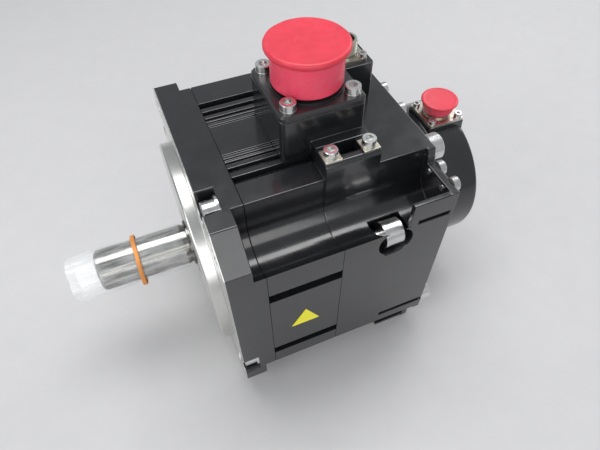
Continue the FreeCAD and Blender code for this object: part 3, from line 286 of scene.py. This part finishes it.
STEEL = (0.56, 0.555, 0.53)
looks = {
    black_paint(): ["stator_frame", "rear_housing", "connector_box", "brake_connector_block",
                    "encoder_cover"],
    bracket_paint(): ["front_bracket"],
    turned_metal("machined_aluminium", BARE, 0.3): ["encoder_base"],
    laminated("core_steel"): ["stator_core", "rotor_core"],
    plain("moulded_insulation", (0.72, 0.68, 0.55), 0.5): ["slot_insulation"],
    winding("copper_winding"): ["stator_coils", "brake_coil"],
    plain("lead_insulation", (0.5, 0.03, 0.03), 0.45, grain=900.0): ["motor_leads"],
    ground_shaft(): ["shaft"],
    turned_metal("ground_steel", STEEL, 0.2): [
        "front_bearing_outer", "front_bearing_inner", "rear_bearing_outer",
        "rear_bearing_inner", "wave_washer"],
    plain("ball_steel", (0.65, 0.65, 0.66), 0.08, 1.0, vary=0.05, relief=0.02): [
        "front_bearing_balls", "rear_bearing_balls"],
    plain("magnet_plating", (0.55, 0.55, 0.56), 0.25, 1.0, relief=0.15): ["rotor_magnets"],
    winding("glass_band"): ["rotor_band"],
    plain("seal_rubber", (0.02, 0.02, 0.02), 0.6, relief=0.4): ["oil_seal"],
    turned_metal("brake_steel", (0.42, 0.42, 0.42), 0.34): [
        "brake_coil_housing", "brake_end_plate", "brake_armature", "brake_hub",
        "brake_springs", "encoder_hub"],
    plain("friction_lining", (0.10, 0.08, 0.065), 0.8, grain=2500.0, relief=0.7, depth=0.15): [
        "brake_disc"],
    plain("disc_glass", (0.55, 0.65, 0.63), 0.05, relief=0.02, Alpha=0.5): ["encoder_disc"],
    plain("circuit_board", (0.02, 0.16, 0.06), 0.3, relief=0.2): ["encoder_board"],
    plain("component_packages", (0.02, 0.02, 0.022), 0.5): ["encoder_components"],
    plain("black_oxide", (0.035, 0.035, 0.04), 0.32, 0.7): ["brake_screws"],
    plain("zinc_plating", (0.66, 0.66, 0.65), 0.24, 1.0, vary=0.12, relief=0.2): [
        "cover_screws", "power_screws", "brake_connector_screws", "encoder_connector_screws",
        "clamp_screws", "front_tie_bolts", "side_bolts", "rear_tie_bolts",
        "rear_plate_screws"],
    plain("black_shell", (0.014, 0.014, 0.016), 0.30, vary=0.2, relief=0.2,
          Specular_IOR_Level=0.7, Coat_Weight=0.2): ["power_receptacle"],
    plain("satin_nickel", (0.50, 0.48, 0.42), 0.30, 1.0, vary=0.12, relief=0.3): [
        "brake_receptacle", "encoder_receptacle", "clamp_plates"],
    plain("insert_plastic", (0.02, 0.02, 0.02), 0.45): [
        "power_insert", "brake_insert", "encoder_insert"],
    plain("gold_contact", (0.85, 0.62, 0.24), 0.18, 1.0, relief=0.1): [
        "power_pins", "signal_pins"],
    label_face("yellow_label"): ["hazard_sticker"],
}
for material, names in looks.items():
    for name in names:
        nodes[name].data.materials.clear()
        nodes[name].data.materials.append(material)

cap_red = red_plastic("cap_red", (0.60, 0.028, 0.052), 0.06)
# Painted sheen: the skirt gets a lighter, pinker copy of the same red plastic with more pale
# patches, in place of the light on the skirt.
cap_red_painted_sheen = red_plastic("cap_red_painted_sheen", (0.70, 0.050, 0.100), 0.12)
film = clear_film("sleeve_film")
band_rubber = plain("band_rubber", (0.62, 0.24, 0.055), 0.55, vary=0.2, grain=700.0, relief=0.4,
                    depth=0.15, Subsurface_Weight=0.1, Subsurface_Radius=(MM, 0.5 * MM, 0.3 * MM))


# ------------------------------------------------------------- softened edges


def smooth_by_angle():
    """Geometry nodes: smooth shading except across sharp edges, inside the square body."""
    group = bpy.data.node_groups.new("smooth_by_angle", "GeometryNodeTree")
    group.interface.new_socket("Geometry", in_out="INPUT", socket_type="NodeSocketGeometry")
    group.interface.new_socket("Geometry", in_out="OUTPUT", socket_type="NodeSocketGeometry")
    enter = group.nodes.new("NodeGroupInput")
    leave = group.nodes.new("NodeGroupOutput")
    faces = group.nodes.new("GeometryNodeSetShadeSmooth")
    faces.domain = "FACE"
    edges = group.nodes.new("GeometryNodeSetShadeSmooth")
    edges.domain = "EDGE"
    angle = group.nodes.new("GeometryNodeInputMeshEdgeAngle")
    test = group.nodes.new("FunctionNodeCompare")
    test.operation = "LESS_EQUAL"
    test.inputs[1].default_value = EDGE_ANGLE
    forget = group.nodes.new("GeometryNodeRemoveAttribute")
    forget.inputs["Name"].default_value = "custom_normal"
    # A bevel at a thin corner could stand out of the square body, so it is held inside.
    hold = group.nodes.new("GeometryNodeSetPosition")
    spot = group.nodes.new("GeometryNodeInputPosition").outputs[0]
    for operation, limit in (("MAXIMUM", (-1.0, -HALF_SQUARE, -HALF_SQUARE)),
                             ("MINIMUM", (1.0, HALF_SQUARE, 1.0))):
        clamp = group.nodes.new("ShaderNodeVectorMath")
        clamp.operation = operation
        clamp.inputs[1].default_value = limit
        group.links.new(spot, clamp.inputs[0])
        spot = clamp.outputs[0]
    group.links.new(spot, hold.inputs["Position"])
    group.links.new(enter.outputs[0], hold.inputs["Geometry"])
    group.links.new(hold.outputs["Geometry"], forget.inputs["Geometry"])
    group.links.new(forget.outputs["Geometry"], faces.inputs["Geometry"])
    group.links.new(faces.outputs["Geometry"], edges.inputs["Geometry"])
    group.links.new(angle.outputs["Unsigned Angle"], test.inputs[0])
    group.links.new(test.outputs[0], edges.inputs["Shade Smooth"])
    group.links.new(edges.outputs["Geometry"], leave.inputs[0])
    return group


SMOOTH = smooth_by_angle()


def soften(name, width):
    """Welds a CAD mesh, merges its flat triangles and rounds its sharp edges a little."""
    obj = nodes[name]
    weld = obj.modifiers.new("weld", "WELD")
    weld.merge_threshold = 0.002 * MM
    flat = obj.modifiers.new("flat", "DECIMATE")
    flat.decimate_type = "DISSOLVE"
    flat.angle_limit = math.radians(0.6)
    bevel = obj.modifiers.new("bevel", "BEVEL")
    bevel.width = width * MM
    bevel.segments = 2
    bevel.limit_method = "ANGLE"
    bevel.angle_limit = EDGE_ANGLE
    bevel.use_clamp_overlap = False
    shade = obj.modifiers.new("shade", "NODES")
    shade.node_group = SMOOTH
    even = obj.modifiers.new("even", "WEIGHTED_NORMAL")
    even.keep_sharp = True
    even.weight = 100


for name, width in (("front_bracket", 0.45), ("stator_frame", 0.35), ("rear_housing", 0.45),
                    ("connector_box", 0.5), ("brake_connector_block", 0.4),
                    ("encoder_cover", 0.4), ("clamp_plates", 0.15)):
    soften(name, width)


# ------------------------------------------------------------ pieces in Blender


def mesh_piece(name, points, faces, material, body, replaced):
    mesh = bpy.data.meshes.new(name)
    mesh.from_pydata(points, [], faces)
    mesh.update()
    obj = bpy.data.objects.new(name, mesh)
    scene.collection.objects.link(obj)
    mesh.materials.append(material)
    for face in mesh.polygons:
        face.use_smooth = True
    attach(obj, body)
    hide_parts(replaced)
    return obj


def grid_faces(rows, columns, closed_rows=False):
    """Quads over rows of points, each row a closed ring of columns."""
    faces = []
    for row in range(rows if closed_rows else rows - 1):
        for column in range(columns):
            following = (column + 1) % columns
            upper = (row + 1) % rows
            faces.append((row * columns + column, row * columns + following,
                          upper * columns + following, upper * columns + column))
    return faces


def smooth_profile(corners, step):
    """Points along a chain of straight runs, no further apart than step."""
    points = []
    for (r0, z0), (r1, z1) in zip(corners, corners[1:]):
        count = max(1, int(math.hypot(r1 - r0, z1 - z0) / step))
        points += [(r0 + (r1 - r0) * k / count, z0 + (z1 - z0) * k / count)
                   for k in range(count)]
    return points + [corners[-1]]


CAP_COLUMNS = 120
CAP_STEP = 0.35
# a faint crease in the top of the large cap, in mm from the cap's axis
CREASE_CENTRE = Vector((4.15, -1.75, 0))
CREASE_RUN = Vector((0.68, 0.73, 0))
CREASE_WIDTH = 0.6
CREASE_LENGTH = 3.8


def soft_cap(name, centre, profile, dents, body, replaced, skirt_below, crease=0.0):
    """A moulded cap: a turned wall of the profile's outline, a little uneven."""
    outline = smooth_profile(profile, CAP_STEP)
    points = []
    for radius, height in outline:
        for column in range(CAP_COLUMNS):
            turn = 2 * math.pi * column / CAP_COLUMNS
            at = Vector((math.cos(turn) * radius, math.sin(turn) * radius, height))
            wave = noise.noise(at * 0.16 + Vector((7, 3, 1))) * dents
            shrink = 1 - abs(wave) / max(radius, 1.0) if radius > 0.5 else 1
            sink = 0.0
            if crease and height > profile[-1][1] + 0.9:
                spot = at - CREASE_CENTRE
                off = spot.x * CREASE_RUN.y - spot.y * CREASE_RUN.x
                along = spot.x * CREASE_RUN.x + spot.y * CREASE_RUN.y
                sink = crease * math.exp(-(off / CREASE_WIDTH) ** 2
                                         - (along / CREASE_LENGTH) ** 2)
            points.append((centre[0] + at.x * shrink * MM, centre[1] + at.y * shrink * MM,
                           (height - sink - abs(wave) * 0.35) * MM))
    faces = grid_faces(len(outline), CAP_COLUMNS)
    obj = mesh_piece(name, points, faces, cap_red, body, replaced)
    # Faces of the skirt take the painted-sheen copy of the red.
    obj.data.materials.append(cap_red_painted_sheen)
    for face in obj.data.polygons:
        if face.center.z < skirt_below * MM:
            face.material_index = 1
    return obj


POWER = (-61 * MM, 5.2 * MM)
ENCODER = (-140.9 * MM, 0.0)
soft_cap("power_cap_moulding", POWER, [
    (0.01, 107.75), (12.0, 107.9), (16.3, 108.2), (17.3, 108.3), (18.0, 107.95), (18.35, 107.3),
    (18.35, 106.3), (18.0, 105.75), (17.2, 105.55), (16.5, 105.2), (16.15, 104.4), (16.05, 97.0),
    (16.0, 90.8), (15.8, 90.45), (15.45, 90.45), (15.25, 90.8), (15.2, 105.3), (14.6, 106.2),
    (0.01, 106.2)], 0.22, "power_dust_cap", "power_cap", 105.3, crease=0.25)
soft_cap("encoder_cap_moulding", ENCODER, [
    (0.01, 51.95), (7.5, 52.15), (9.2, 52.35), (9.7, 52.15), (9.88, 51.8), (9.85, 51.35),
    (9.4, 51.0), (9.1, 50.5), (8.3, 47.6), (7.62, 45.5), (7.45, 45.32), (7.1, 45.35),
    (7.05, 45.6), (8.3, 50.9), (8.1, 51.2), (0.01, 51.2)],
    0.12, "encoder_dust_cap", "encoder_cap", 50.6)


# the clear sleeve and its band, in mm
SLEEVE_DROP = 1.1
SLEEVE_REAR = 9.7
SLEEVE_FRONT = 68.9
SLEEVE_FREE_FROM = 55.4
SLEEVE_FREE_RADIUS = 9.6
SLEEVE_LIMIT = 12.9
SHAFT_RADIUS = 11.0
BAND_X = 34.6
BAND_RADIUS = 13.45
BAND_LEAN = math.tan(math.radians(2.8))


def sleeve_radius(turn, along):
    """Radius of the film from its own axis: from just off the shaft out to the limit."""
    inner = SLEEVE_DROP * math.sin(turn) + math.sqrt(
        SHAFT_RADIUS ** 2 - (SLEEVE_DROP * math.cos(turn)) ** 2) + 0.2
    if along > SLEEVE_FREE_FROM:
        inner = SLEEVE_FREE_RADIUS
    place = Vector((along * 0.045, math.cos(turn) * 1.6, math.sin(turn) * 1.6))
    folds = noise.noise(place + Vector((2.1, 0, 0)))
    fine = noise.noise(Vector((along * 0.12, math.cos(turn) * 4.5, math.sin(turn) * 4.5)))
    band = math.exp(-((along - BAND_X - BAND_LEAN * -12 * math.sin(turn)) / 4.0) ** 2)
    share = 0.78 + 0.30 * folds + 0.14 * fine - 0.55 * band
    return inner + (SLEEVE_LIMIT - inner) * min(1.0, max(0.12, share))


def shaft_film():
    rows, columns = 110, 144
    points = []
    for row in range(rows):
        for column in range(columns):
            turn = 2 * math.pi * column / columns
            ragged = 0.9 * noise.noise(Vector((math.cos(turn) * 2.2, math.sin(turn) * 2.2, 5.0)))
            along = SLEEVE_REAR + (SLEEVE_FRONT + ragged - SLEEVE_REAR) * row / (rows - 1)
            radius = sleeve_radius(turn, along)
            points.append((along * MM, math.cos(turn) * radius * MM,
                           (math.sin(turn) * radius - SLEEVE_DROP) * MM))
    obj = mesh_piece("shaft_film", points, grid_faces(rows, columns), film, "shaft_protection",
                     "shaft_sleeve")
    wall = obj.modifiers.new("wall", "SOLIDIFY")
    wall.thickness = 0.12 * MM
    wall.offset = -1


def elastic_band():
    """A flat elastic band round the sleeve, leaning and slightly twisted."""
    rings, corners = 160, 12
    points = []
    for ring in range(rings):
        turn = 2 * math.pi * ring / rings
        circle = Vector((0, math.cos(turn), math.sin(turn)))
        wobble = 0.25 * noise.noise(Vector((math.cos(turn) * 1.3, math.sin(turn) * 1.3, 9.0)))
        radius = BAND_RADIUS + 0.12 * wobble
        lean = -BAND_LEAN * radius * math.sin(turn)
        centre = Vector((BAND_X + lean + wobble, 0, -SLEEVE_DROP)) + circle * radius
        twist = 0.35 * math.sin(turn + 0.8) + 0.2 * math.sin(2 * turn)
        for corner in range(corners):
            spin = 2 * math.pi * corner / corners
            wide = 1.15 * math.copysign(abs(math.cos(spin)) ** 0.6, math.cos(spin))
            thick = 0.42 * math.copysign(abs(math.sin(spin)) ** 0.6, math.sin(spin))
            side = wide * math.cos(twist) - thick * math.sin(twist)
            out = wide * math.sin(twist) * 0.35 + thick * math.cos(twist)
            points.append((centre + Vector((side, 0, 0)) + circle * out) * MM)
    obj = mesh_piece("elastic_band", points, grid_faces(rings, corners, True), band_rubber,
                     "shaft_protection", "rubber_band")


shaft_film()
elastic_band()


# ------------------------------------------------------- floor, light, camera


def studio_floor():
    reach = 3.0
    mesh = bpy.data.meshes.new("floor")
    mesh.from_pydata([(-reach, -reach, FLOOR_Z), (reach, -reach, FLOOR_Z),
                      (reach, reach, FLOOR_Z), (-reach, reach, FLOOR_Z)], [], [(0, 1, 2, 3)])
    floor = bpy.data.objects.new("floor", mesh)
    scene.collection.objects.link(floor)
    mesh.materials.append(plain("floor_paper", (0.50, 0.497, 0.50), 0.6, vary=0.015, grain=400.0,
                                relief=0.05, Specular_IOR_Level=0.25))


def area_light(name, place, target, size, power, colour=(1, 1, 1)):
    lamp = bpy.data.lights.new(name, "AREA")
    lamp.shape = "RECTANGLE"
    lamp.size, lamp.size_y = size
    lamp.energy = power
    lamp.color = colour
    obj = bpy.data.objects.new(name, lamp)
    scene.collection.objects.link(obj)
    direction = Vector(target) - Vector(place)
    obj.matrix_world = (Matrix.Translation(Vector(place))
                        @ direction.to_track_quat("-Z", "Y").to_matrix().to_4x4())


def studio():
    world = bpy.data.worlds.new("studio")
    world.use_nodes = True
    background = world.node_tree.nodes["Background"]
    background.inputs["Color"].default_value = (0.93, 0.96, 1.0, 1.0)
    background.inputs["Strength"].default_value = 0.45
    scene.world = world
    area_light("overhead", (-0.10, -0.25, 0.95), (-0.05, 0.0, 0.0), (0.9, 0.5), 7.5)
    area_light("from_the_front", (0.20, 0.95, 0.50), (0.0, 0.10, 0.0), (1.2, 0.7), 6.0)
    area_light("from_the_shaft", (0.75, 0.25, 0.55), (0.0, 0.0, 0.0), (0.5, 0.4), 2.5)
    area_light("from_behind", (-0.80, -0.35, 0.50), (-0.08, 0.0, 0.02), (0.5, 0.35), 2.0)
    scene.view_settings.view_transform = "Standard"


# Camera where the photographed view was taken from: its axes as rows of a rotation.
CAMERA_PLACE = Vector((10.09, 170.24, 215.80)) * MM
CAMERA_RIGHT = Vector((-0.92320867, 0.38424376, -0.00651849))
CAMERA_DOWN = Vector((0.30535267, 0.72314993, -0.61952718))
CAMERA_AHEAD = Vector((-0.23333561, -0.57394330, -0.78494814))
CAMERA_LENS = 29.24


def camera():
    lens = bpy.data.cameras.new("camera")
    lens.sensor_width = 36.0
    lens.lens = CAMERA_LENS
    lens.clip_start = 0.01
    obj = bpy.data.objects.new("camera", lens)
    scene.collection.objects.link(obj)
    turn = Matrix((CAMERA_RIGHT, -CAMERA_DOWN, -CAMERA_AHEAD)).transposed()
    obj.matrix_world = Matrix.Translation(CAMERA_PLACE) @ turn.to_4x4()
    scene.camera = obj


studio_floor()
studio()
camera()
